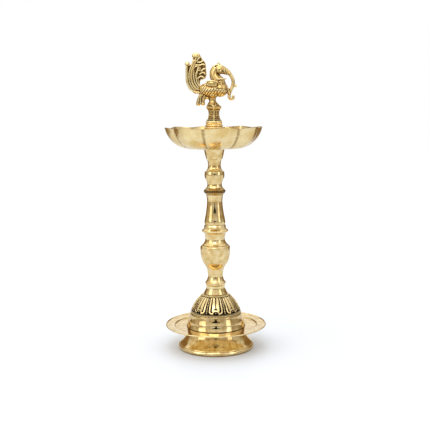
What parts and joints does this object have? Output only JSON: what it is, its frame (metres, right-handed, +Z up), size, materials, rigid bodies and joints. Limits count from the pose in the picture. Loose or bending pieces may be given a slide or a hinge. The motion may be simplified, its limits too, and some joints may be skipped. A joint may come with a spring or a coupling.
{
  "type": "standing oil lamp",
  "caption": "Standing brass oil lamp (samai) with a flared foot, drip tray, engraved dome, turned stem, petalled oil bowl and a cast peacock finial; the stem and finial unscrew.",
  "frame": {"origin": "centre of the foot's rest face, on the lamp's axis", "axes": "+Z up the stem's axis; the peacock faces +X"},
  "size_m": [0.1576, 0.1576, 0.4571],
  "materials": {
    "polished_brass": "turned and polished, bright",
    "engraved_brass": "engraved relief, polished on the crests and blackened in the recesses",
    "cast_brass": "cast and brushed, with darker recesses",
    "plain_brass": "machined, dull",
    "leather": "oiled leather washer"
  },
  "bodies": {
    "base": {"foot": "polished_brass", "tray": "polished_brass", "drum": "polished_brass", "dome": "engraved_brass", "tie_stud": "plain_brass", "base_washer": "plain_brass", "base_nut": "plain_brass"},
    "lower_stud": {"lower_stud": "plain_brass"},
    "lower_stem": {"lower_stem": "polished_brass"},
    "middle_stud": {"middle_stud": "plain_brass"},
    "upper_stem": {"neck_collar": "polished_brass", "shaft": "polished_brass", "bead_ring": "cast_brass", "knop": "polished_brass", "shaft_rod": "plain_brass"},
    "upper_stud": {"upper_stud": "plain_brass"},
    "cup": {"cup": "polished_brass", "lower_seal": "leather"},
    "bowl": {"bowl": "polished_brass"},
    "finial_stud": {"finial_stud": "plain_brass"},
    "finial": {"finial_base": "polished_brass", "upper_seal": "leather", "peacock_stud": "plain_brass", "peacock": "cast_brass"}
  },
  "joints": [
    {"name": "lower_stud_turn", "type": "hinge", "parent": "base", "child": "lower_stud", "pos_m": [0, 0, 0], "axis": [0, 0, 1], "range_deg": [0, 2160]},
    {"name": "lower_stem_rise", "type": "slide", "parent": "lower_stud", "child": "lower_stem", "axis": [0, 0, 1], "range_m": [0, 0.009]},
    {"name": "middle_stud_turn", "type": "hinge", "parent": "lower_stem", "child": "middle_stud", "pos_m": [0, 0, 0], "axis": [0, 0, 1], "range_deg": [0, 2160]},
    {"name": "upper_stem_rise", "type": "slide", "parent": "middle_stud", "child": "upper_stem", "axis": [0, 0, 1], "range_m": [0, 0.009]},
    {"name": "upper_stud_turn", "type": "hinge", "parent": "upper_stem", "child": "upper_stud", "pos_m": [0, 0, 0], "axis": [0, 0, 1], "range_deg": [0, 2160]},
    {"name": "cup_rise", "type": "slide", "parent": "upper_stud", "child": "cup", "axis": [0, 0, 1], "range_m": [0, 0.009]},
    {"name": "finial_stud_turn", "type": "hinge", "parent": "cup", "child": "finial_stud", "pos_m": [0, 0, 0], "axis": [0, 0, 1], "range_deg": [0, 2160]},
    {"name": "finial_rise", "type": "slide", "parent": "finial_stud", "child": "finial", "axis": [0, 0, 1], "range_m": [0, 0.009]},
    {"name": "bowl_turn", "type": "hinge", "parent": "cup", "child": "bowl", "pos_m": [0, 0, 0], "axis": [0, 0, 1], "continuous": true}
  ],
  "couplings": [
    {"joint": "lower_stud_turn", "follows": "lower_stem_rise", "rad_per_m": 4188.8},
    {"joint": "middle_stud_turn", "follows": "upper_stem_rise", "rad_per_m": 4188.8},
    {"joint": "upper_stud_turn", "follows": "cup_rise", "rad_per_m": 4188.8},
    {"joint": "finial_stud_turn", "follows": "finial_rise", "rad_per_m": 4188.8}
  ]
}
